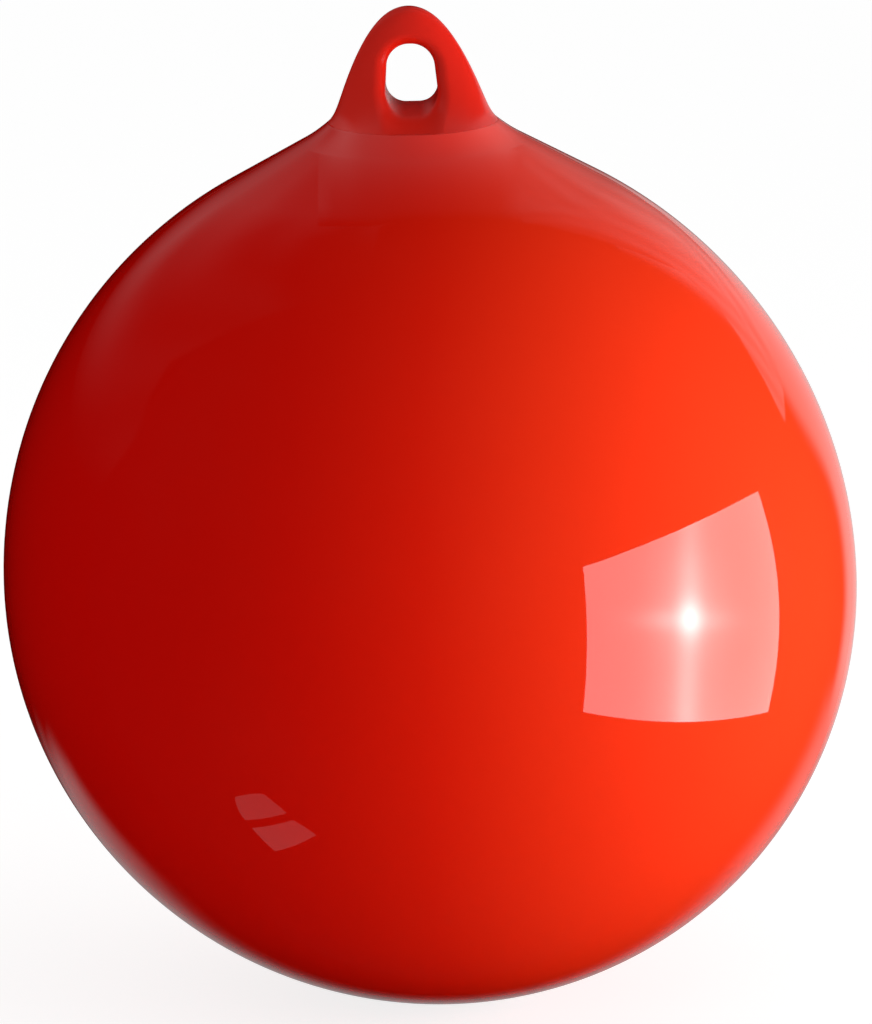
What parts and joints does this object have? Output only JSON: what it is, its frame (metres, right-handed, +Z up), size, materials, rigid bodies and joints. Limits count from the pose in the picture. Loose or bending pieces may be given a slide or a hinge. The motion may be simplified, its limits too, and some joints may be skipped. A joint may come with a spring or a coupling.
{
  "type": "mooring buoy",
  "caption": "Round inflatable mooring buoy of soft red vinyl, with a moulded rope eye on top and a screw-plugged air valve on its back shoulder.",
  "frame": {"origin": "middle of the round float, which is the height of the water when the mooring takes half of the lift", "axes": "+Z up through the rope eye, the eye's hole runs along Y, the valve is on the +Y side"},
  "size_m": [0.3799, 0.38, 0.4482],
  "materials": {
    "skin": "glossy soft vinyl",
    "eye": "glossy solid vinyl",
    "valve": "satin moulded",
    "seal": "matte",
    "plug": "satin moulded"
  },
  "bodies": {
    "buoy": {"shell": "skin", "eye_end": "eye", "valve_seat": "valve"},
    "plug": {"valve_seal": "seal", "valve_plug": "plug"}
  },
  "joints": [
    {"name": "plug_lift", "type": "slide", "parent": "buoy", "child": "plug", "axis": [0, 0.5878, 0.809], "range_m": [0, 0.03]}
  ]
}
